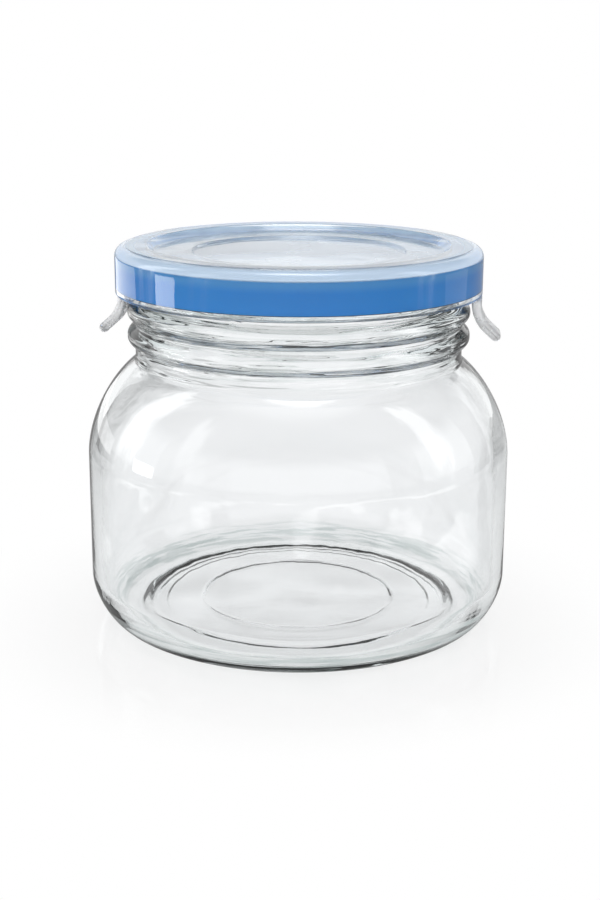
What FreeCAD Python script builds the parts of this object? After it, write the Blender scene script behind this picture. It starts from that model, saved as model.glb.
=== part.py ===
import FreeCAD, Part
import math
import os

# Squat glass storage jar with a clear push-on lid and a coloured sealing ring.
# Millimetres, +Z up, origin on the table under the middle of the jar.
# Every round piece is one half-section turned about Z. The two pull tabs of the lid lie on the X axis.

# ---- glass jar: overall sizes ----
glass_height = 84.8         # table to the top of the glass lip
body_radius = 50.0          # straight side of the jar
wall = 2.8                  # side and shoulder thickness

# ---- glass jar: base ----
heel_in = 5.8               # how far the heel's slope runs in from the side
heel_up = 5.1               # and how far it climbs
heel_round = 12.8           # rounding from the side into the heel
foot_round = 4.6            # rounding from the heel onto the bearing ring
foot_width = 6.0            # ring that stands on the table
foot_inner_round = 10.0     # soft rounding from that ring into the hollow
hollow_depth = 0.9          # hollow under the base, at its rim
hollow_slope = 3.9          # run of the slope up into it
hollow_round = 0.7
base_steps = (32.6, 23.2)   # radii of the steps that the mould's plates leave in the hollow
base_step_rise = 0.16
base_step_run = 0.6
base_step_round = 0.5
floor = 2.8                 # inside floor above the table, at its edge
floor_rise = 0.5            # extra height of the floor in the middle
floor_flat = 16.0           # radius of the level middle
floor_round = 200.0         # rounding between the level middle and the slope around it
inner_heel_in = 5.6         # the same slope inside, from the inner side
inner_heel_up = 4.7
inner_heel_round = 9.6
inner_foot_round = 4.6

# ---- glass jar: shoulder and neck ----
shoulder_turn = 54.0        # degrees from upright to the shoulder's slope at the neck
neck_radius = 38.4
neck_foot_round = 0.8
neck_straight = 3.2         # plain neck between the shoulder and the lowest bead
neck_wall = 3.4
inner_neck_round = 4.0
bead_count = 2
bead_height = 5.3
bead_depth = 1.75           # how far a bead stands out from the neck
bead_crest = 1.9            # level part of the crest, before rounding
bead_round = 1.5
bead_root_round = 0.35
bead_gap = 0.5

# ---- glass jar: sealing finish above the beads ----
finish_step = 1.4           # how far the finish stands back from the neck
ridge_depth = 0.6           # snap ridge that the sealing ring hooks under
ridge_height = 2.4
ridge_below_lip = 1.2
ridge_round = 0.4
lip_round = 0.9

# ---- fits ----
fit_gap = 0.15              # between pieces that rest or sit in each other
snap_gap = 0.2              # sealing ring to the glass ridge, sideways
hook_gap = 0.05             # sealing ring's hook below the glass ridge
skirt_to_bead = 1.5         # lid's skirt above the top bead
tab_to_bead = 0.25          # pull tabs out from the beads

# ---- sealing ring ----
ring_wall = 2.05
ring_lip = 1.6              # width of the raised lip that seals against the lid
ring_lip_rise = 0.3         # lip above the flange
ring_flange = 1.05          # thickness of the flange over the glass lip
ring_flange_in = 0.6        # its inner edge, out from the mouth
ring_hook_depth = 0.45      # bead that hooks under the glass ridge
ring_hook_height = 1.6
ring_round = 0.35
ring_hook_round = 0.175
ring_lip_round = 0.12

# ---- lid ----
skirt_wall = 2.8
skirt_below_ring = 1.0
lid_rim = 2.65              # thickness over the sealing ring
lid_shoulder = 2.3          # width of the rounded shoulder outside the raised rim
lid_shoulder_drop = 0.35    # shoulder below the top of the rim
lid_shoulder_round = 2.1
lid_rim_width = 5.15
panel_drop = 1.6            # sunken panel below the rim
panel_slope = 1.75          # run of the slope down to it
plate = 1.6                 # thickness of the panel
disc_radius = 25.0          # middle disc, sunk a second time
disc_drop = 0.6
disc_slope = 0.5
disc_round = 0.4
panel_round = 0.8
lid_rim_round = 0.6
lid_rim_edge_round = 0.25
lid_rim_foot_round = 0.15
lid_under_round = 0.3       # all corners of the underside
skirt_edge_round = 0.4

# ---- pull tabs ----
tab_width = 7.0
tab_thickness = 2.3
tab_overlap = 1.2           # how far the tab's root runs up into the skirt
tab_drop = 2.3              # straight part below the skirt
tab_bend = 7.0              # radius of the bend, at the middle of the thickness
tab_turn = 48.0             # degrees
tab_reach = 3.0             # straight part after the bend
tab_edge_round = 1.0
tab_tip_share = 0.97        # tip rounding as a share of half the thickness

# ---- heights and radii that follow from the sizes above ----
mouth_radius = neck_radius - neck_wall
finish_radius = neck_radius - finish_step
ridge_radius = finish_radius + ridge_depth
ridge_top = glass_height - ridge_below_lip
ridge_low = ridge_top - ridge_height

ring_inner = ridge_radius + snap_gap
ring_outer = ring_inner + ring_wall
flange_top = glass_height + fit_gap + ring_flange
ring_top = flange_top + ring_lip_rise
hook_slope_top = ridge_low - hook_gap
hook_top = hook_slope_top - ring_hook_depth
ring_bottom = hook_top - ring_hook_height

skirt_inner = ring_outer + fit_gap
lid_radius = skirt_inner + skirt_wall
skirt_bottom = ring_bottom - skirt_below_ring
rim_under = ring_top + fit_gap
lid_top = rim_under + lid_rim

bead_top = skirt_bottom - skirt_to_bead
bead_stack = bead_count * bead_height + (bead_count - 1) * bead_gap
neck_foot = bead_top - bead_stack - neck_straight

UP = FreeCAD.Vector(0, 0, 1)
CENTRE = FreeCAD.Vector(0, 0, 0)


def point(radius, height):
    """A point of a half-section, in the XZ plane."""
    return FreeCAD.Vector(radius, 0, height)


def rounded_face(corners):
    """Closed face in the XZ plane from (radius, height, rounding) corners.

    A corner with a rounding becomes an arc that touches both of its sides.
    """
    edges = []
    last_end = None
    first_start = None
    count = len(corners)
    for i in range(count):
        here = point(*corners[i][:2])
        rounding = corners[i][2]
        start = end = here
        if rounding > 0:
            back = (point(*corners[i - 1][:2]) - here).normalize()
            ahead = (point(*corners[(i + 1) % count][:2]) - here).normalize()
            half_angle = back.getAngle(ahead) / 2
            run = rounding / math.tan(half_angle)
            start = here + back * run
            end = here + ahead * run
            middle_way = (back + ahead).normalize()
            crest = here + middle_way * (rounding / math.sin(half_angle) - rounding)
        if last_end is None:
            first_start = start
        elif last_end.distanceToPoint(start) > 1e-6:
            edges.append(Part.LineSegment(last_end, start).toShape())
        if rounding > 0:
            edges.append(Part.Arc(start, crest, end).toShape())
        last_end = end
    edges.append(Part.LineSegment(last_end, first_start).toShape())
    return Part.Face(Part.Wire(edges))


def turned(corners):
    """Solid of revolution of a half-section about Z."""
    return rounded_face(corners).revolve(CENTRE, UP, 360)


def base_underside():
    """Stepped hollow under the base and the ring that it stands on, from the middle out."""
    foot_outer = body_radius - heel_in
    foot_inner = foot_outer - foot_width
    corners = [
        (foot_outer, 0, foot_round),
        (foot_inner, 0, foot_inner_round),
        (foot_inner - hollow_slope, hollow_depth, hollow_round),
    ]
    height = hollow_depth
    for radius in base_steps:
        corners.append((radius, height, base_step_round))
        height += base_step_rise
        corners.append((radius - base_step_run, height, base_step_round))
    corners.append((0, height, 0))
    corners.reverse()
    return corners


def shoulder_rounding():
    """Outer shoulder radius that uses up the slope between the side and the neck's foot."""
    half_turn = math.tan(math.radians(shoulder_turn / 2))
    slope_length = (body_radius - neck_radius) / math.sin(math.radians(shoulder_turn))
    return slope_length / half_turn - neck_foot_round


def shoulder_height(radius, inset):
    """Height at a radius of the shoulder's slope, moved into the glass by inset."""
    turn = math.radians(shoulder_turn)
    start_radius = neck_radius - inset * math.cos(turn)
    start_height = neck_foot - inset * math.sin(turn)
    return start_height - (radius - start_radius) / math.tan(turn)


def bead(low):
    """One rounded bead around the neck, with its lower edge at the height low."""
    side = (bead_height - bead_crest) / 2
    crest_radius = neck_radius + bead_depth
    return [
        (neck_radius, low, bead_root_round),
        (crest_radius, low + side, bead_round),
        (crest_radius, low + side + bead_crest, bead_round),
        (neck_radius, low + bead_height, bead_root_round),
    ]


def snap_ridge():
    """Ridge near the glass lip that the sealing ring hooks under."""
    return [
        (finish_radius, ridge_low, ridge_round),
        (ridge_radius, ridge_low + ridge_depth, ridge_round),
        (ridge_radius, ridge_top - ridge_depth, ridge_round),
        (finish_radius, ridge_top, ridge_round),
    ]


def make_jar():
    """Hollow jar: base, heel, side, round shoulder, beaded neck and sealing finish."""
    inner_radius = body_radius - wall
    outside = base_underside()
    outside.append((body_radius, heel_up, heel_round))
    outside.append((body_radius, shoulder_height(body_radius, 0), shoulder_rounding()))
    outside.append((neck_radius, neck_foot, neck_foot_round))
    for number in range(bead_count):
        low = neck_foot + neck_straight + number * (bead_height + bead_gap)
        outside.extend(bead(low))
    outside[-1] = (finish_radius, bead_top, bead_root_round)
    outside.extend(snap_ridge())
    outside.append((finish_radius, glass_height, lip_round))
    inside = [
        (mouth_radius, glass_height, lip_round),
        (mouth_radius, shoulder_height(mouth_radius, wall), inner_neck_round),
        (inner_radius, shoulder_height(inner_radius, wall), shoulder_rounding() - wall),
        (inner_radius, floor + inner_heel_up, inner_heel_round),
        (inner_radius - inner_heel_in, floor, inner_foot_round),
        (floor_flat, floor + floor_rise, floor_round),
        (0, floor + floor_rise, 0),
    ]
    return turned(outside + inside)


def make_seal_ring():
    """Ring between the lid and the glass.

    A wall with a raised lip on top, a flange over the glass and a hook below.
    """
    hook_radius = ring_inner - ring_hook_depth
    lip_radius = ring_outer - ring_lip
    flange_radius = mouth_radius + ring_flange_in
    return turned([
        (hook_radius, ring_bottom, ring_round),
        (ring_outer, ring_bottom, ring_round),
        (ring_outer, ring_top, ring_round),
        (lip_radius, ring_top, ring_lip_round),
        (lip_radius - ring_lip_rise, flange_top, ring_lip_round),
        (flange_radius, flange_top, ring_round),
        (flange_radius, flange_top - ring_flange, ring_round),
        (ring_inner, flange_top - ring_flange, ring_round),
        (ring_inner, hook_slope_top, ring_round),
        (hook_radius, hook_top, ring_hook_round),
    ])


def make_lid_shell():
    """Top, raised rim and skirt of the lid."""
    rim_outer = lid_radius - lid_shoulder
    rim_inner = rim_outer - lid_rim_width
    shoulder_top = lid_top - lid_shoulder_drop
    panel_top = lid_top - panel_drop
    disc_top = panel_top - disc_drop
    panel_edge = rim_inner - panel_slope
    slope_shift = plate * math.tan(math.atan2(panel_drop, panel_slope) / 2)
    under_edge = panel_edge + slope_shift
    climb = rim_under - (panel_top - plate)
    return turned([
        (0, disc_top, 0),
        (disc_radius - disc_slope, disc_top, disc_round),
        (disc_radius, panel_top, disc_round),
        (panel_edge, panel_top, panel_round),
        (rim_inner, lid_top, lid_rim_round),
        (rim_outer - lid_shoulder_drop, lid_top, lid_rim_edge_round),
        (rim_outer, shoulder_top, lid_rim_foot_round),
        (lid_radius, shoulder_top, lid_shoulder_round),
        (lid_radius, skirt_bottom, skirt_edge_round),
        (skirt_inner, skirt_bottom, skirt_edge_round),
        (skirt_inner, rim_under, lid_under_round),
        (under_edge + climb * panel_slope / panel_drop, rim_under, lid_under_round),
        (under_edge, panel_top - plate, lid_under_round),
        (disc_radius, panel_top - plate, lid_under_round),
        (disc_radius - disc_slope, disc_top - plate, lid_under_round),
        (0, disc_top - plate, 0),
    ])


def make_tab():
    """Pull tab on +X: straight root, outward bend and rounded tip, with soft edges."""
    half = tab_thickness / 2
    middle = neck_radius + bead_depth + tab_to_bead + half
    root = skirt_bottom + tab_overlap
    turn = math.radians(tab_turn)
    lean = math.tan(turn / 2)
    along = point(math.sin(turn), -math.cos(turn))
    across = point(math.cos(turn), math.sin(turn)) * half
    elbow = point(middle, skirt_bottom - tab_drop - tab_bend * lean)
    elbow_side = point(half, half * lean)
    tip = elbow + along * (tab_bend * lean + tab_reach + half)
    tip_round = half * tab_tip_share

    def corner(place, rounding):
        return (place.x, place.z, rounding)

    side_view = rounded_face([
        (middle - half, root, 0),
        corner(elbow - elbow_side, tab_bend + half),
        corner(tip - across, tip_round),
        corner(tip + across, tip_round),
        corner(elbow + elbow_side, tab_bend - half),
        (middle + half, root, 0),
    ])
    side_view.translate(FreeCAD.Vector(0, -tab_width / 2, 0))
    blank = side_view.extrude(FreeCAD.Vector(0, tab_width, 0))
    side_edges = []
    for edge in blank.Edges:
        box = edge.BoundBox
        if box.YLength < 1e-6 and box.ZMin < root - 1e-6:
            side_edges.append(edge)
    return blank.makeFillet(tab_edge_round, side_edges)


def make_lid():
    """Lid shell with its two pull tabs, moulded as one piece."""
    lid = make_lid_shell()
    for quarter_turns in (0, 2):
        tab = make_tab()
        tab.rotate(CENTRE, UP, 90 * quarter_turns)
        lid = lid.fuse(tab)
    return lid.removeSplitter()


def main():
    os.makedirs("parts", exist_ok=True)
    pieces = {"jar": make_jar(), "seal_ring": make_seal_ring(), "lid": make_lid()}
    for name, shape in pieces.items():
        solids = shape.Solids
        if len(solids) != 1 or not shape.isValid():
            raise ValueError(name + " is not one valid solid")
        solids[0].exportStep("parts/" + name + ".step")
        box = shape.optimalBoundingBox()
        print(f"{name}: {shape.Volume / 1000:.1f} cm3, z {box.ZMin:.2f} to {box.ZMax:.2f}, "
              f"width {box.XLength:.2f}")


main()
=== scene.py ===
# %% [markdown]
# # A glass storage jar with a clear push-on lid
# The jar is pressed and blown soda-lime glass. Its lid is clear moulded plastic with two pull tabs, and a
# blue sealing ring sits inside the lid and shows through it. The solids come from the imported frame, and
# this script gives them their looks: finer lathe-turned surfaces, and materials for glass, plastic and
# rubber. Everything is in metres, in the frame's own axes, with +Z up.

# %% Load the frame
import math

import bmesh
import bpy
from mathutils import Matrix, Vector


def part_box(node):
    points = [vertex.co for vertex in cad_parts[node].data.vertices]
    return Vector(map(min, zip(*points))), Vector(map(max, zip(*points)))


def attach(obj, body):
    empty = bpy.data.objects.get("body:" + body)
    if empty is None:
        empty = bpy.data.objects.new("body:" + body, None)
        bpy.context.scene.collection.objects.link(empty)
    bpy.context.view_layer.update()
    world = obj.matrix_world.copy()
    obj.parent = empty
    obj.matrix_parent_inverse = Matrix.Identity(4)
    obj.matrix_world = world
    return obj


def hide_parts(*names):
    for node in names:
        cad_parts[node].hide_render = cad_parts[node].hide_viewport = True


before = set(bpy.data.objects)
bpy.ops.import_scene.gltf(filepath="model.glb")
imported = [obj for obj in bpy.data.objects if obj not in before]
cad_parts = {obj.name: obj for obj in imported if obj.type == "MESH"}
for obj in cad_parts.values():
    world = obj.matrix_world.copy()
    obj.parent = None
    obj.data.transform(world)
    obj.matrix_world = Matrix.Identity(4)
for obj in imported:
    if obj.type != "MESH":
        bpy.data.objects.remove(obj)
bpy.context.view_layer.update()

# %% [markdown]
# ## Measure the solids
# The frame holds three solids: the jar, the lid and the sealing ring. Their boxes give the sizes that the
# finer pieces have to meet, so those sizes are read from them and not typed again. A mesh holds its sizes
# with a little noise in the last digits, so they are rounded to a micrometre.

MM = 0.001


def rounded_box(corners):
    """The two corners of a box, to a micrometre."""
    return [[round(v, 6) for v in corner] for corner in corners]


jar_low, jar_high = rounded_box(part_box("jar"))
lid_low, lid_high = rounded_box(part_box("lid"))
ring_low, ring_high = rounded_box(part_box("seal_ring"))
print("jar", [round(v / MM, 2) for v in (*jar_low, *jar_high)])
print("lid", [round(v / MM, 2) for v in (*lid_low, *lid_high)])
print("ring", [round(v / MM, 2) for v in (*ring_low, *ring_high)])

# %% [markdown]
# ## Rounding a section
# Jar, lid and sealing ring are all bodies of revolution. They could be made from primitives and booleans,
# but a lathe is closer to how their moulds are cut: draw half of the section, round its corners, and turn
# it about Z. A face in the XZ plane holds the section, because bmesh can bevel the corners of a face one at
# a time, each with its own radius. A vertex bevel asks for the distance from the corner to where the arc
# starts, so that distance is worked out from the radius and the corner's angle.

# %% Round the corners
ARC_STEP = 0.45 * MM


def rounded_section(corners):
    """A bmesh with one face in the XZ plane, from (radius, height, rounding) corners."""
    bm = bmesh.new()
    points = [Vector((radius, 0, height)) for radius, height, _ in corners]
    verts = [bm.verts.new(p) for p in points]
    bm.faces.new(verts)
    for i, vert in enumerate(verts):
        rounding = corners[i][2]
        if rounding > 0:
            back = points[i - 1] - points[i]
            ahead = points[(i + 1) % len(points)] - points[i]
            half_angle = back.angle(ahead) / 2
            arc = rounding * (math.pi - 2 * half_angle)
            bmesh.ops.bevel(
                bm, geom=[vert], offset=rounding / math.tan(half_angle), offset_type="OFFSET",
                segments=max(4, round(arc / ARC_STEP)), profile=0.5, affect="VERTICES", material=-1)
    return bm


# %% [markdown]
# ## Turning a section
# Spin turns the outline once about Z. The face itself and the edges that lie on the axis are deleted first,
# since they would end up inside the skin. Long straight runs are divided, so that smooth shading bends only
# beside a corner and doesn't smear over a flat. The two ends of the full turn meet in one seam, which
# use_merge closes, and the points on the axis are merged into one pole.

# %% Turn the outline
RUN_STEP = 1.6 * MM
TURN_STEPS = 192
TINY = 1e-6


def turn_section(bm):
    """Turns the section's outline about Z into a closed skin."""
    bmesh.ops.delete(bm, geom=bm.faces[:], context="FACES_ONLY")
    on_axis = [e for e in bm.edges if max(abs(v.co.x) for v in e.verts) < TINY * MM]
    bmesh.ops.delete(bm, geom=on_axis, context="EDGES")
    for edge in [e for e in bm.edges if e.calc_length() > RUN_STEP]:
        cuts = math.ceil(edge.calc_length() / RUN_STEP) - 1
        bmesh.ops.subdivide_edges(bm, edges=[edge], cuts=cuts)
    bmesh.ops.spin(
        bm, geom=bm.verts[:] + bm.edges[:], cent=(0, 0, 0), axis=(0, 0, 1), angle=math.tau,
        steps=TURN_STEPS, use_merge=True, use_duplicate=False)
    bmesh.ops.remove_doubles(bm, verts=bm.verts[:], dist=TINY)
    bmesh.ops.recalc_face_normals(bm, faces=bm.faces[:])


def object_from(bm, name):
    """Turns a bmesh into an object in the scene, and frees the bmesh."""
    mesh = bpy.data.meshes.new(name)
    bm.to_mesh(mesh)
    bm.free()
    piece = bpy.data.objects.new(name, mesh)
    bpy.context.scene.collection.objects.link(piece)
    return piece


def turned_piece(corners, name):
    """Turns a section into a smooth piece that rides on the frame's only body."""
    bm = rounded_section(corners)
    turn_section(bm)
    piece = object_from(bm, name)
    for polygon in piece.data.polygons:
        polygon.use_smooth = True
    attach(piece, "root")
    print(name, len(piece.data.polygons), "faces")
    return piece


# %% [markdown]
# ## The jar's shoulder and beads
# The shoulder is one round arc from the side up to a short neck. In the section it is a single corner
# between the side and a straight slope, so its rounding follows from the slope's length. The neck carries
# two beads, which stiffen it and give the fingers a grip. Each bead is four corners of the section, and so
# two calls draw both.

# %% Jar shoulder and beads
body_radius = jar_high[0]
glass_height = jar_high[2]
neck_radius = 38.4 * MM
shoulder_turn = math.radians(54)
neck_foot = 62.3 * MM
neck_foot_round = 0.8 * MM
bead_depth = 1.75 * MM
bead_width = 5.3 * MM
bead_slope = 1.7 * MM
lower_bead = neck_foot + 3.2 * MM
upper_bead = lower_bead + bead_width + 0.5 * MM


def shoulder_rounding():
    """The rounding that takes up the whole slope between the side and the neck."""
    slope_length = (body_radius - neck_radius) / math.sin(shoulder_turn)
    return slope_length / math.tan(shoulder_turn / 2) - neck_foot_round


def shoulder_height(radius, inset):
    """The height of the slope at a radius, on the line that lies inset under the outer one."""
    start_radius = neck_radius - inset * math.cos(shoulder_turn)
    start_height = neck_foot - inset * math.sin(shoulder_turn)
    return start_height - (radius - start_radius) / math.tan(shoulder_turn)


def bead(low):
    """Four corners of a bead whose lower edge is at low."""
    crest = neck_radius + bead_depth
    return [
        (neck_radius, low, 0.35 * MM),
        (crest, low + bead_slope, 1.5 * MM),
        (crest, low + bead_width - bead_slope, 1.5 * MM),
        (neck_radius, low + bead_width, 0.35 * MM),
    ]


print("shoulder rounding", round(shoulder_rounding() / MM, 2), "mm")

# %% [markdown]
# ## The jar's base
# A jar of this kind is thickest at its heel, where the glass is last to leave the mould's floor. It stands
# on a narrow ring, and the hollow inside the ring has two shallow steps, so that the jar can't rock and the
# base bends light in circles. The inside floor rises a little towards its middle.

# %% Jar base
wall = 2.8 * MM
floor_height = 2.8 * MM
floor_crown = 0.5 * MM
crown_radius = 16.0 * MM
foot_outer = body_radius - 5.8 * MM
foot_inner = foot_outer - 6.0 * MM
hollow_edge = foot_inner - 3.9 * MM
step_run = 0.6 * MM
step_round = 0.5 * MM
inner_step = 22.6 * MM
outer_step = 32.0 * MM
middle_hollow = 1.22 * MM
middle_ring_hollow = 1.06 * MM
outer_ring_hollow = 0.9 * MM
underside = [
    (0, middle_hollow, 0),
    (inner_step, middle_hollow, step_round),
    (inner_step + step_run, middle_ring_hollow, step_round),
    (outer_step, middle_ring_hollow, step_round),
    (outer_step + step_run, outer_ring_hollow, step_round),
    (hollow_edge, outer_ring_hollow, 0.7 * MM),
    (foot_inner, 0, 10.0 * MM),
    (foot_outer, 0, 4.6 * MM),
    (body_radius, 5.1 * MM, 12.8 * MM),
]
inside_floor = [
    (body_radius - wall, floor_height + 4.2 * MM, 9.6 * MM),
    (body_radius - wall - 4.7 * MM, floor_height, 4.0 * MM),
    (crown_radius, floor_height + floor_crown, 200 * MM),
    (0, floor_height + floor_crown, 0),
]
print("bearing ring from", round(foot_inner / MM, 2), "to", round(foot_outer / MM, 2), "mm")

# %% [markdown]
# ## The jar's finish, and the jar
# The finish is the rim that the closure works on: a plain wall, a small ridge that the sealing ring snaps
# over, and a rounded lip. The whole section is then one loop of corners that goes up the outside, over the
# lip and down the inside, which keeps the glass's thickness easy to see in the numbers.

# %% Jar
finish_radius = 37.0 * MM
mouth_radius = neck_radius - 3.4 * MM
ridge_height = 0.6 * MM
ridge_round = 0.4 * MM
lip_round = 0.9 * MM
outside = [
    (body_radius, shoulder_height(body_radius, 0), shoulder_rounding()),
    (neck_radius, neck_foot, neck_foot_round),
    *bead(lower_bead),
    *bead(upper_bead)[:-1],
    (finish_radius, upper_bead + bead_width, 0.35 * MM),
    (finish_radius, glass_height - 3.6 * MM, ridge_round),
    (finish_radius + ridge_height, glass_height - 3.0 * MM, ridge_round),
    (finish_radius + ridge_height, glass_height - 1.8 * MM, ridge_round),
    (finish_radius, glass_height - 1.2 * MM, ridge_round),
    (finish_radius, glass_height, lip_round),
]
inside = [
    (mouth_radius, glass_height, lip_round),
    (mouth_radius, shoulder_height(mouth_radius, wall), 4.0 * MM),
    (body_radius - wall, shoulder_height(body_radius - wall, wall), shoulder_rounding() - wall),
]
jar = turned_piece(underside + outside + inside + inside_floor, "glass_jar")
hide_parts("jar")

# %% [markdown]
# ## The sealing ring
# The ring is soft rubber: a wall between the glass and the lid's skirt, a flange that lies over the glass
# lip, a hook that snaps under the ridge, and a raised lip that the lid presses on. Where rubber and clear
# plastic touch closely there is no air between them, and the plastic takes on the rubber's colour all over.
# To get that, the ring's outer wall and raised lip reach a little into the lid's plastic instead of
# stopping at its surface.

# %% Sealing ring
grip = 0.3 * MM
fit_gap = 0.15 * MM
soft_edge = 0.35 * MM
sharp_edge = 0.12 * MM
ring_outer = ring_high[0]
ring_top = ring_high[2]
ring_bottom = ring_low[2]
ring_inner = ring_outer - 2.05 * MM
hook_inner = ring_inner - 0.45 * MM
flange_inner = mouth_radius + 0.6 * MM
flange_top = ring_top - 0.3 * MM
flange_under = flange_top - 1.05 * MM
lip_inner = ring_outer - 1.6 * MM
ring = turned_piece([
    (hook_inner, ring_bottom, soft_edge),
    (ring_outer + grip, ring_bottom, soft_edge),
    (ring_outer + grip, ring_top + grip, soft_edge),
    (lip_inner, ring_top + grip, sharp_edge),
    (lip_inner - 0.3 * MM, flange_top, sharp_edge),
    (flange_inner, flange_top, soft_edge),
    (flange_inner, flange_under, soft_edge),
    (ring_inner, flange_under, soft_edge),
    (ring_inner, ring_bottom + 2.05 * MM, soft_edge),
    (hook_inner, ring_bottom + 1.6 * MM, 0.17 * MM),
], "sealing_ring")
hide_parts("seal_ring")

# %% [markdown]
# ## The lid
# The lid is moulded in one piece: a skirt around the ring, a raised rim with a rounded shoulder, a slope
# down to a sunken panel, and a small second step down to the middle disc. The steps stiffen the thin
# plastic and let another jar stand on top. The underside follows the top at the plate's thickness, as a
# mould would have it.

# %% Lid
lid_radius = lid_high[1]
lid_top = lid_high[2]
skirt_inner = ring_outer + fit_gap
skirt_bottom = ring_bottom - 1.0 * MM
rim_under = ring_top + fit_gap
rim_outer = lid_radius - 2.3 * MM
rim_inner = rim_outer - 5.15 * MM
rim_edge = 0.35 * MM
slope_drop = 1.6 * MM
slope_run = 1.75 * MM
plate = 1.6 * MM
panel_top = lid_top - slope_drop
panel_edge = rim_inner - slope_run
under_edge = panel_edge + plate * math.tan(math.atan2(slope_drop, slope_run) / 2)
under_slope = (rim_under - panel_top + plate) * slope_run / slope_drop
disc_radius = 24.5 * MM
disc_step = 0.5 * MM
disc_top = panel_top - 0.6 * MM
lid = turned_piece([
    (0, disc_top, 0),
    (disc_radius, disc_top, 0.4 * MM),
    (disc_radius + disc_step, panel_top, 0.4 * MM),
    (panel_edge, panel_top, 0.8 * MM),
    (rim_inner, lid_top, 0.6 * MM),
    (rim_outer - rim_edge, lid_top, 0.25 * MM),
    (rim_outer, lid_top - rim_edge, 0.15 * MM),
    (lid_radius, lid_top - rim_edge, 2.1 * MM),
    (lid_radius, skirt_bottom, 0.4 * MM),
    (skirt_inner, skirt_bottom, 0.4 * MM),
    (skirt_inner, rim_under, 0.3 * MM),
    (under_edge + under_slope, rim_under, 0.3 * MM),
    (under_edge, panel_top - plate, 0.3 * MM),
    (disc_radius + disc_step, panel_top - plate, 0.3 * MM),
    (disc_radius, disc_top - plate, 0.3 * MM),
    (0, disc_top - plate, 0),
], "clear_lid")
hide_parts("lid")

# %% [markdown]
# ## Pull tabs
# Two tongues of the same plastic leave the skirt, bend outwards and end in a round tip, so that a thumb can
# lift the lid. A curve with a bevel would make them round rods. They are flat with soft edges, so the side
# view of a tongue is drawn as a section, extruded across its width and bevelled.

# %% Side view of a tab
tab_width = 7.0 * MM
tab_half = 1.15 * MM
tab_middle = skirt_inner + 0.4 * MM + tab_half
tab_root = skirt_bottom + 1.2 * MM
tab_drop = 2.3 * MM
tab_bend = 7.0 * MM
tab_turn = math.radians(48)
tab_reach = 3.0 * MM
tip_round = 0.97 * tab_half


def tab_section():
    """Corners of the tongue's side view: a straight root, an outward bend and a round tip."""
    lean = math.tan(tab_turn / 2)
    elbow = skirt_bottom - tab_drop - tab_bend * lean
    length = tab_bend * lean + tab_reach + tab_half
    end_x = tab_middle + length * math.sin(tab_turn)
    end_z = elbow - length * math.cos(tab_turn)
    side_x = tab_half * math.cos(tab_turn)
    side_z = tab_half * math.sin(tab_turn)
    return [
        (tab_middle - tab_half, tab_root, 0),
        (tab_middle - tab_half, elbow - tab_half * lean, tab_bend + tab_half),
        (end_x - side_x, end_z - side_z, tip_round),
        (end_x + side_x, end_z + side_z, tip_round),
        (tab_middle + tab_half, elbow + tab_half * lean, tab_bend - tab_half),
        (tab_middle + tab_half, tab_root, 0),
    ]


# %% [markdown]
# ## From side view to tongue
# Extruding gives the tongue its width, and a bevel on every edge of its two flat sides makes it pleasant to
# the thumb. The edges at the root stay sharp, because they end up inside the skirt.

# %% Make a tab
tab_edge = 0.95 * MM


def make_tab(name, turn):
    """A tongue, turned about Z to its place on the lid."""
    bm = rounded_section(tab_section())
    made = bmesh.ops.extrude_face_region(bm, geom=bm.faces[:])["geom"]
    far_verts = [item for item in made if isinstance(item, bmesh.types.BMVert)]
    bmesh.ops.translate(bm, verts=far_verts, vec=(0, tab_width, 0))
    bmesh.ops.translate(bm, verts=bm.verts[:], vec=(0, -tab_width / 2, 0))
    bmesh.ops.recalc_face_normals(bm, faces=bm.faces[:])
    flats = [face for face in bm.faces if abs(face.normal.y) > 0.9]
    edges = {edge for face in flats for edge in face.edges}
    free = [edge for edge in edges if min(v.co.z for v in edge.verts) < tab_root - TINY]
    bmesh.ops.bevel(
        bm, geom=free, offset=tab_edge, offset_type="OFFSET", segments=6, profile=0.5, affect="EDGES",
        material=-1)
    bmesh.ops.rotate(bm, verts=bm.verts[:], cent=(0, 0, 0), matrix=Matrix.Rotation(turn, 3, "Z"))
    return object_from(bm, name)


def unite(base, extra):
    """Unites extra with base by an applied boolean, and removes extra."""
    union = base.modifiers.new("union", "BOOLEAN")
    union.operation = "UNION"
    union.solver = "EXACT"
    union.material_mode = "TRANSFER"
    union.object = extra
    evaluated = base.evaluated_get(bpy.context.evaluated_depsgraph_get())
    mesh = bpy.data.meshes.new_from_object(evaluated)
    base.modifiers.clear()
    base.data = mesh
    bpy.data.objects.remove(extra)


# %% [markdown]
# ## Shader helper
# Materials are written as sums and products. A small class wraps one output of a node tree: arithmetic on
# it adds Math nodes, and its node method adds any other node, first its settings, then the values or links
# of its sockets.

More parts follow.
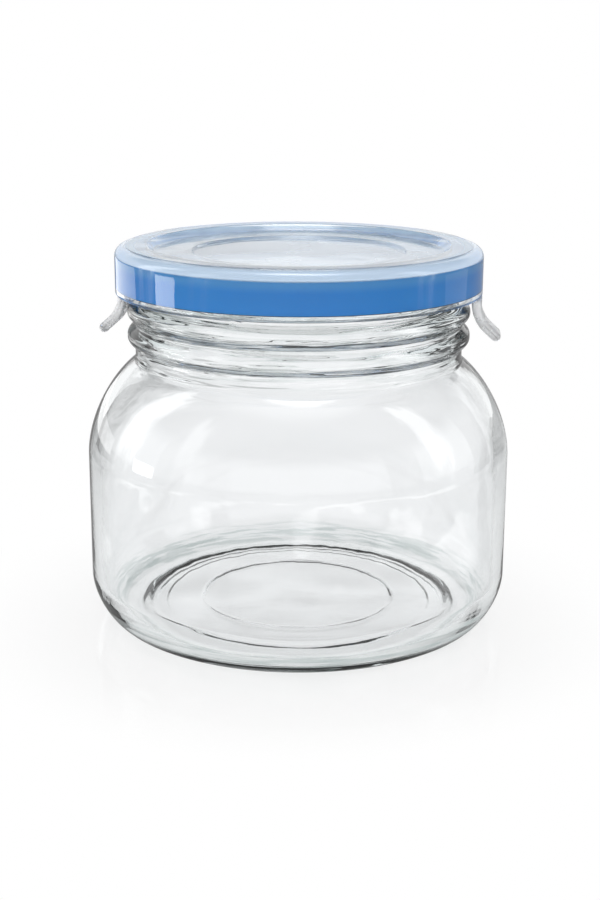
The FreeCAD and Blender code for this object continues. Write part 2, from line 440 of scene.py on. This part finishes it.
# %% Shader helper
class Signal:
    """One output in a node tree. Arithmetic on it adds Math nodes, and node() adds any other kind."""

    def __init__(self, tree, socket=None):
        self.tree = tree
        self.socket = socket

    def node(self, kind, settings=None, inputs=None, output=0):
        made = self.tree.nodes.new("ShaderNode" + kind)
        for name, value in (settings or {}).items():
            if name == "stops":
                set_stops(made.color_ramp, value)
            else:
                setattr(made, name, value)
        for name, value in (inputs or {}).items():
            if isinstance(value, Signal):
                self.tree.links.new(value.socket, made.inputs[name])
            else:
                made.inputs[name].default_value = value
        return Signal(self.tree, made.outputs[output] if len(made.outputs) else None)

    def also(self, output):
        """Another output of the same node."""
        return Signal(self.tree, self.socket.node.outputs[output])

    def math(self, operation, first, second=0.0):
        return self.node("Math", {"operation": operation}, {0: first, 1: second})

    def __add__(self, other):
        return self.math("ADD", self, other)

    def __sub__(self, other):
        return self.math("SUBTRACT", self, other)

    def __rsub__(self, other):
        return self.math("SUBTRACT", other, self)

    def __mul__(self, other):
        return self.math("MULTIPLY", self, other)

    def __abs__(self):
        return self.math("ABSOLUTE", self)

    __radd__ = __add__
    __rmul__ = __mul__


def set_stops(ramp, stops):
    """Gives a ramp its stops, as (position, grey) pairs."""
    while len(ramp.elements) < len(stops):
        ramp.elements.new(1.0)
    for element, (position, grey) in zip(ramp.elements, stops):
        element.position = position
        element.color = (grey, grey, grey, 1)


# %% [markdown]
# ## Masks and mixes
# Most finishes here change with the height or with the distance from the jar's axis. Both come from Object
# coordinates, so a mask is a soft step on one of them, and two steps make a band. Colours can't go through
# a Math node without turning grey, so they are blended by a Mix node.

# %% Masks and mixes
def new_material(name):
    """A material with an empty node tree, and a signal to start it from."""
    material = bpy.data.materials.new(name)
    material.use_nodes = True
    material.node_tree.nodes.clear()
    return material, Signal(material.node_tree)


def finish(material, start, sockets):
    """Links the shaders to the material's output, and prints how many nodes it took."""
    start.node("OutputMaterial", inputs=sockets)
    print(material.name, len(start.tree.nodes), "nodes")


def rise(signal, low, high):
    """0 below low, 1 above high, and a soft change between them."""
    inputs = {"Value": signal, "From Min": low, "From Max": high}
    return signal.node("MapRange", {"interpolation_type": "SMOOTHSTEP"}, inputs)


def fall(signal, low, high):
    """1 below low, 0 above high, and a soft change between them."""
    return 1 - rise(signal, low, high)


def mix_colour(factor, first, second):
    """A blend of two colours, from first at 0 to second at 1."""
    inputs = {"Factor": factor, 6: first, 7: second}
    return factor.node("Mix", {"data_type": "RGBA"}, inputs, output=2)


def noise(place, scale, detail, roughness=0.5, distortion=0.0):
    """Cloudy noise between 0 and 1."""
    inputs = {"Vector": place, "Scale": scale, "Detail": detail, "Roughness": roughness,
              "Distortion": distortion}
    return place.node("TexNoise", inputs=inputs)


def height_of(place):
    """The height of a point."""
    return place.node("SeparateXYZ", inputs={0: place}, output="Z")


def radius_of(place):
    """The distance of a point from the jar's axis."""
    level = place.node("VectorMath", {"operation": "MULTIPLY"}, {0: place, 1: (1, 1, 0)})
    return place.node("VectorMath", {"operation": "LENGTH"}, {0: level}, output="Value")


# %% [markdown]
# ## Glass: its skin
# Blown glass is never flat: it has broad soft waves, a faint ripple, and level rings where the neck was
# pressed and where the heel cooled against the mould. A smooth surface would look like a drawing. Sculpting
# them would need a far finer mesh, and none of them has an outline of its own, so they go into one Bump
# node. The base's two circles are steps in the mesh. Those steps are softly rounded, so the relief sharpens
# them a little.

# %% Relief of the glass
WAVE_SCALE = 34.0
RIPPLE_SCALE = 150.0
RING_SCALE = 700.0
LINE_SCALE = 1100.0
RELIEF = 0.9 * MM
plate_circle = 36.5 * MM
disc_circle = 23.1 * MM
glass, start = new_material("soda_lime_glass")
place = start.node("TexCoord", output="Object")
height = height_of(place)
radius = radius_of(place)
stretched = start.node("Mapping", inputs={"Vector": place, "Scale": (1, 1, 0.55)})
layered = start.node("Mapping", inputs={"Vector": place, "Scale": (0.06, 0.06, 1.0)})
waves = noise(stretched, WAVE_SCALE, 1.0, 0.4)
ripple = noise(place, RIPPLE_SCALE, 2.0)
rings = noise(layered, RING_SCALE, 1.0)
at_heel = fall(height, 6 * MM, 12 * MM)
at_neck = rise(height, 60 * MM, 66 * MM)
at_base = fall(height, 3.6 * MM, 4.2 * MM)
wide = rise(radius, plate_circle - 1.7 * MM, plate_circle)
wide = wide * fall(radius, plate_circle, plate_circle + 1.9 * MM)
narrow = rise(radius, disc_circle - 0.7 * MM, disc_circle)
narrow = narrow * fall(radius, disc_circle, disc_circle + 0.7 * MM)
relief = waves + 0.03 * ripple + rings * (0.03 * at_heel + 0.60 * at_neck)
relief = relief + at_base * (0.36 * wide + 0.06 * narrow)
skin = start.node("Bump", inputs={"Height": relief, "Strength": 1.0, "Distance": RELIEF})

# %% [markdown]
# ## Glass: its colour
# Soda-lime glass is clear with a trace of green from iron, which only shows where light travels far through
# it, at the heel. A Volume Absorption node gives that depth of colour. The base colour is a little greyer
# towards the bottom. Fine dark grey-green lines on the outside of the heel and around the neck are painted
# shade, for the dark lines that thick, curved glass draws there, and thin layers of noise, wide across and
# narrow in height, draw them.

# %% Colour of the glass
clear_tint = (0.985, 0.983, 0.990, 1)
base_tint = (0.965, 0.968, 0.972, 1)
# Painted shade: the next two colours darken the heel and the neck in fine lines.
heel_painted_shade = (0.54, 0.60, 0.595, 1)
neck_painted_shade = (0.84, 0.86, 0.86, 1)
iron_green = (0.50, 0.78, 0.76, 1)
lines = noise(layered, LINE_SCALE, 1.0)
tint_and_painted_shade = mix_colour(fall(height, 2 * MM, 9 * MM), clear_tint, base_tint)
on_heel = rise(radius, 40 * MM, 44 * MM) * fall(height, 3.2 * MM, 6.5 * MM)
# Painted shade: dark lines over the heel, and fainter ones over the neck.
tint_and_painted_shade = mix_colour(on_heel * (0.15 + 0.85 * rise(lines, 0.46, 0.60)), tint_and_painted_shade, heel_painted_shade)
tint_and_painted_shade = mix_colour(at_neck * rise(lines, 0.52, 0.62), tint_and_painted_shade, neck_painted_shade)
body = start.node("BsdfPrincipled", inputs={
    "Base Color": tint_and_painted_shade, "Roughness": 0.0, "IOR": 1.52, "Transmission Weight": 1.0, "Normal": skin})
depth = start.node("VolumeAbsorption", inputs={"Color": iron_green, "Density": 12.0})
finish(glass, start, {"Surface": body, "Volume": depth})
jar.data.materials.append(glass)

# %% [markdown]
# ## Clear plastic
# The skirt is as clear as glass. The top is milky, from handling and from the fine drag marks of the mould;
# that milk is partly real haze and partly painted light, for the top's brightness and the blue ring seen
# through it. The rounded shoulder is made palest, a painted highlight where it catches the light. Roughness
# alone would only blur what is seen through it, so a second, solid and slightly blue Principled shader
# stands for the haze and the painted light, and a Mix Shader's factor says where.

# %% Clear plastic
plastic_ior = 1.49
shoulder_highlight = 0.68
plastic, start = new_material("clear_plastic")
place = start.node("TexCoord", output="Object")
height = height_of(place)
radius = radius_of(place)
skin = start.node("Bump", inputs={"Height": noise(place, 45.0, 1.0), "Strength": 1.0, "Distance": 0.25 * MM})
smudge = noise(place, 90.0, 3.0)
body = start.node("BsdfPrincipled", inputs={
    "Base Color": (0.95, 0.985, 1.0, 1), "Roughness": 0.01 + 0.03 * smudge, "IOR": plastic_ior,
    "Transmission Weight": 1.0, "Normal": skin})
haze_and_highlight = start.node("BsdfPrincipled", inputs={
    "Base Color": (0.66, 0.80, 0.98, 1), "Roughness": 0.12, "IOR": plastic_ior, "Normal": skin})
on_top = rise(height, lid_top - 2.6 * MM, lid_top - 2.3 * MM)
within = fall(radius, rim_outer - 0.4 * MM, rim_outer + 0.2 * MM)
# Painted highlight: the rounded shoulder outside the rim is made pale.
on_shoulder = (1 - within) * rise(height, lid_top - 2.35 * MM, lid_top - 2.1 * MM)
streak = noise(place, 26.0, 2.0, distortion=1.2)
on_rim = rise(radius, rim_inner - 0.5 * MM, rim_inner + 0.3 * MM)
# Partly real haze and partly painted light: the pale blue milk on the top.
milk_and_painted_light = (0.30 + 0.34 * rise(streak, 0.35, 0.65)) * (1 - 0.5 * on_rim)
haze_and_highlight_share = milk_and_painted_light * on_top * within + shoulder_highlight * on_shoulder
surface = start.node("MixShader", inputs={0: haze_and_highlight_share, 1: body, 2: haze_and_highlight})
finish(plastic, start, {"Surface": surface})
lid.data.materials.append(plastic)

# %% [markdown]
# ## Frosty plastic
# The tongues are moulded with a fine frosted face, so that a wet thumb doesn't slip. They let light through
# but show nothing clearly: transmission below 1 gives the milky part, and a fine grain roughens the rest.

# %% Frosty plastic
frosty, start = new_material("frosty_plastic")
place = start.node("TexCoord", output="Object")
cloud = noise(place, 260.0, 3.0)
grain = noise(place, 1400.0, 2.0)
skin = start.node("Bump", inputs={"Height": grain, "Strength": 0.35, "Distance": 0.05 * MM})
milky = mix_colour(cloud, (0.86, 0.87, 0.88, 1), (0.97, 0.975, 0.98, 1))
body = start.node("BsdfPrincipled", inputs={
    "Base Color": milky, "Roughness": 0.22 + 0.12 * cloud, "IOR": plastic_ior, "Transmission Weight": 0.72,
    "Normal": skin})
finish(frosty, start, {"Surface": body})

# %% [markdown]
# ## Blue rubber
# The ring is dyed through and a little cloudy. A shader for light inside the rubber would be slow and would
# change little to see. Its colour also carries painted light: it grows paler towards its upper edge and is
# nearly white on the raised lip, a painted highlight where the lid's rounded shoulder catches the light, and
# the top face of the flange is painted paler. The faces towards the glass and the underside are painted
# dark, a painted shade for the gap that hardly any light reaches, or the neck of the jar would glow blue.

# %% Blue rubber
blue, start = new_material("blue_rubber")
place = start.node("TexCoord", output="Object")
height = height_of(place)
radius = radius_of(place)
cloud = noise(place, 60.0, 2.0)
grain = noise(place, 900.0, 2.0)
skin = start.node("Bump", inputs={"Height": grain, "Strength": 0.25, "Distance": 0.05 * MM})
dye_and_painted_light = mix_colour(cloud, (0.025, 0.34, 1.0, 1), (0.055, 0.42, 1.0, 1))
# Painted highlight: lighter towards the upper edge, and nearly white at the raised lip.
dye_and_painted_light = mix_colour(rise(height, ring_top - 2.6 * MM, ring_top - 0.4 * MM), dye_and_painted_light, (0.12, 0.50, 1.0, 1))
dye_and_painted_light = mix_colour(rise(height, ring_top - 0.1 * MM, ring_top + 0.15 * MM), dye_and_painted_light, (0.66, 0.86, 1.0, 1))
facing_glass = fall(radius, ring_inner + 0.2 * MM, ring_inner + 0.9 * MM)
facing_down = fall(height, ring_bottom + 0.05 * MM, ring_bottom + 0.30 * MM)
facing_up = rise(height, flange_top - 0.35 * MM, flange_top - 0.05 * MM)
painted_shade_mask = start.math("MAXIMUM", facing_glass * (1 - facing_up), facing_down)
# Painted light: the flange's top face is paler.
dye_and_painted_light = mix_colour(facing_glass * facing_up, dye_and_painted_light, (0.40, 0.68, 1.0, 1))
# Painted shade: the faces towards the glass and the underside are near black.
dye_and_painted_light = mix_colour(painted_shade_mask, dye_and_painted_light, (0.02, 0.03, 0.03, 1))
body = start.node("BsdfPrincipled", inputs={
    "Base Color": dye_and_painted_light, "Roughness": 0.30 + 0.10 * cloud, "IOR": 1.45, "Normal": skin})
finish(blue, start, {"Surface": body})
ring.data.materials.append(blue)

# %% [markdown]
# ## Tabs on the lid
# Lid and tongues are one moulding, so there should be no face between them. An exact boolean unites them,
# and transferring the materials keeps the frosted finish on the tongues and the clear one on the lid.

# %% Tabs on the lid
for number, side in enumerate(("right", "left")):
    tab = make_tab("tab_" + side, number * math.pi)
    tab.data.materials.append(frosty)
    unite(lid, tab)
for polygon in lid.data.polygons:
    polygon.use_smooth = True
print("lid and tabs", len(lid.data.polygons), "faces, slots", [m.name for m in lid.data.materials])

# %% [markdown]
# ## The floor
# Clear glass has hardly any look of its own: it shows the room, and most rays that pass through an upright
# wall end on the floor close by. So the floor decides how the jar looks. The camera sees a white floor with
# the jar's soft shadow and a faint mirror image beside it. Rays that have passed through the glass see a
# slightly greyer floor, greyer still at the sides, and reflections see a dark one with bright patches in
# front, as a window would give. Blender calls a ray refracted by smooth glass both glossy and transmitted,
# so a mirrored ray is glossy and not transmitted.

# %% Floor, and which rays see it
floor_bm = bmesh.new()
bmesh.ops.create_grid(floor_bm, x_segments=1, y_segments=1, size=6.0)
floor = object_from(floor_bm, "studio_floor")
white_floor, start = new_material("white_floor")
seen = start.node("LightPath", output="Is Camera Ray")
through = seen.also("Is Transmission Ray")
mirrored = seen.also("Is Glossy Ray") * (1 - through)
place = start.node("TexCoord", output="Object")
away = start.node("VectorMath", {"operation": "LENGTH"}, {0: place}, output="Value")
aside = abs(start.node("SeparateXYZ", inputs={0: place}, output="X"))
behind = start.node("SeparateXYZ", inputs={0: place}, output="Y")

# %% [markdown]
# ## Patches and edges on the floor
# The bright patches are clouds of noise in a ring around the jar, and only in front of it. Behind it they
# would fade the jar's outline. The darker sides are streaks that start beyond the jar's own width.

# %% Floor material
grey = mix_colour(mirrored, (0.97, 0.97, 0.975, 1), (0.22, 0.22, 0.22, 1))
patches = rise(noise(place, 13.0, 3.0, 0.45), 0.50, 0.58)
patches = patches * rise(away, 0.075, 0.11) * fall(away, 0.24, 0.30) * fall(behind, -0.03, 0.03)
sides = rise(aside, 0.085, 0.15) * (0.6 + 0.4 * rise(noise(place, 30.0, 2.0), 0.30, 0.62))
far = rise(away, 0.050, 0.088)
shade = mix_colour(through * sides, grey, (0.05, 0.055, 0.055, 1))
matt = start.node("BsdfDiffuse", inputs={"Color": shade})
sheen = start.node("BsdfGlossy", inputs={"Color": (1, 1, 1, 1), "Roughness": 0.05})
polished = start.node("MixShader", inputs={0: 0.40 * seen, 1: matt, 2: sheen})
glow_colour = mix_colour(mirrored, (1, 1, 1, 1), (2.3, 2.3, 2.3, 1))
glow = start.node("Emission", inputs={"Color": glow_colour, "Strength": 1.0})
share = seen * (0.74 + 0.26 * far) + through * (0.82 - 0.34 * sides) + mirrored * (0.08 + 0.92 * patches)
lit = start.node("MixShader", inputs={0: share, 1: polished, 2: glow})
finish(white_floor, start, {"Surface": lit})
floor.data.materials.append(white_floor)

# %% [markdown]
# ## The room
# The camera and all soft light see a plain white room. Glass needs something dark to draw its edges with,
# so for reflected and refracted rays the room is white near the floor, dark at middle height and white
# again overhead. Straight above, a pure reflection meets a bright window, which gives the lid and the beads
# their highlights.

# %% World
HORIZON_WHITE = 0.34
DARK_FROM = 0.50
DARK_TO = 0.86
OVERHEAD_WHITE = 0.95
world = bpy.data.worlds.new("studio")
bpy.context.scene.world = world
world.use_nodes = True
world.node_tree.nodes.clear()
start = Signal(world.node_tree)
direction = start.node("TexCoord", output="Generated")
climb = height_of(direction)
seen = start.node("LightPath", output="Is Camera Ray")
mirrored = seen.also("Is Glossy Ray") * (1 - seen.also("Is Transmission Ray"))
stops = [(0.0, 1.0), (HORIZON_WHITE, 1.0), (DARK_FROM, 0.02), (DARK_TO, 0.03), (OVERHEAD_WHITE, 1.0)]
sky = start.node("ValToRGB", {"stops": stops}, {0: climb})
sky = mix_colour(mirrored * rise(climb, 0.955, 0.985), sky, (6, 6, 6, 1))
plain = start.math("MAXIMUM", seen, rise(seen.also("Diffuse Depth"), 0.4, 0.6))
light = mix_colour(plain, sky, (1, 1, 1, 1))
room = start.node("Background", inputs={"Color": light, "Strength": 1.0})
start.node("OutputWorld", inputs={"Surface": room})
print("room", len(world.node_tree.nodes), "nodes")

# %% [markdown]
# ## Cards
# In a studio, cards stand around glass to draw its edges and its highlights. Lamps would do it too, but a
# lamp's shape shows in glass, and a card's shape is easier to choose. Dark cards are met only by rays that
# go through the glass, bright ones only by reflections, and the camera sees none of them. A bright card
# with a soft edge fades out along noise, as light through a curtain does.

# %% Card paint
def soft_shape(start, soft):
    """1 in the middle of a card and 0 towards its edges, on the card's own UV map."""
    place = start.node("TexCoord", output="UV")
    warp = 0.5 * (noise(place, 4.0, 2.0) - 0.5)
    across = start.node("SeparateXYZ", inputs={0: place}, output="X")
    up = start.node("SeparateXYZ", inputs={0: place}, output="Y")
    side = abs(across + warp - 0.5)
    tip = abs(up + warp - 0.5)
    return fall(side, 0.45 - soft, 0.45) * fall(tip, 0.45 - soft, 0.45)


def card_paint(name, strength, soft):
    """A plain glow, or one that fades out into nothing."""
    paint, start = new_material(name + "_paint")
    face = start.node("Emission", inputs={"Color": (1, 1, 1, 1), "Strength": strength})
    if soft > 0:
        clear = start.node("BsdfTransparent")
        face = start.node("MixShader", inputs={0: soft_shape(start, soft), 1: clear, 2: face})
    finish(paint, start, {"Surface": face})
    return paint


# %% [markdown]
# ## Standing the cards
# Each card is an upright sheet that faces the jar, at a bearing in degrees from straight behind, positive
# towards +X. The grid brings its own UV map, which the soft edge reads. The three band cards are low and
# stand 30 mm off the floor, at the height where a ray that the lid's skirt reflects meets them, so that
# their highlights fall on the blue band.

# %% Cards
def card(name, bearing, distance, width, tall, strength, dark=False, soft=0.0, lift=0.0):
    """An upright card that faces the jar. The camera doesn't see it, but glass does."""
    bm = bmesh.new()
    bm.loops.layers.uv.new("uv")
    bmesh.ops.create_grid(bm, x_segments=1, y_segments=1, size=0.5, calc_uvs=True)
    bmesh.ops.scale(bm, verts=bm.verts[:], vec=(width, tall, 1))
    bmesh.ops.translate(bm, verts=bm.verts[:], vec=(0, lift + tall / 2, -distance))
    for angle, axis in ((math.pi / 2, "X"), (-math.radians(bearing), "Z")):
        bmesh.ops.rotate(bm, verts=bm.verts[:], cent=(0, 0, 0), matrix=Matrix.Rotation(angle, 3, axis))
    piece = object_from(bm, name)
    piece.visible_camera = False
    piece.visible_diffuse = False
    piece.visible_shadow = False
    piece.visible_volume_scatter = False
    piece.visible_glossy = not dark
    piece.visible_transmission = dark
    piece.data.materials.append(card_paint(name, strength, soft))


for bearing, strength in ((62, 0.05), (118, 0.05), (-62, 0.25), (-118, 0.25)):
    name = "dark_card_" + str(bearing % 360)
    card(name, bearing, distance=0.26, width=0.09, tall=0.30, strength=strength, dark=True)
card("light_card_left", bearing=-88, distance=0.25, width=0.11, tall=0.40, strength=3.6, soft=0.24)
card("light_card_front", bearing=-128, distance=0.26, width=0.10, tall=0.34, strength=2.0, soft=0.30)
card("light_card_right", bearing=97, distance=0.25, width=0.09, tall=0.40, strength=3.2, soft=0.24)
card("band_card_left", bearing=-104, distance=0.24, width=0.062, tall=0.034, strength=6.0, lift=0.030)
card("band_card_side", bearing=-55, distance=0.24, width=0.17, tall=0.034, strength=1.9, lift=0.030)
card("band_card_right", bearing=70, distance=0.24, width=0.10, tall=0.034, strength=0.8, lift=0.030)

# %% [markdown]
# ## The camera
# The camera stands a little above the jar and a few degrees to its right, at about arm's length, so the
# base's circles and the lid's top both show. It is aimed at a point a little below the jar's middle, by a
# rotation that tracks that point, and turned a quarter of a degree about its own axis.

# %% Camera
swing = math.radians(5.6)
distance = 0.3617
eye_height = 0.1387
aim = Vector((0, 0, 0.0391))
roll = math.radians(0.25)
camera_data = bpy.data.cameras.new("camera")
camera_data.lens = 62.24
camera_data.sensor_width = 36
camera_data.shift_x = 0.002
camera = bpy.data.objects.new("camera", camera_data)
bpy.context.scene.collection.objects.link(camera)
camera.location = (distance * math.sin(swing), -distance * math.cos(swing), eye_height)
look = (aim - camera.location).to_track_quat("-Z", "Y").to_matrix()
camera.rotation_euler = (look @ Matrix.Rotation(roll, 3, "Z")).to_euler()
bpy.context.scene.camera = camera
bpy.context.scene.view_settings.view_transform = "Standard"
print("camera at", [round(v, 4) for v in camera.location])
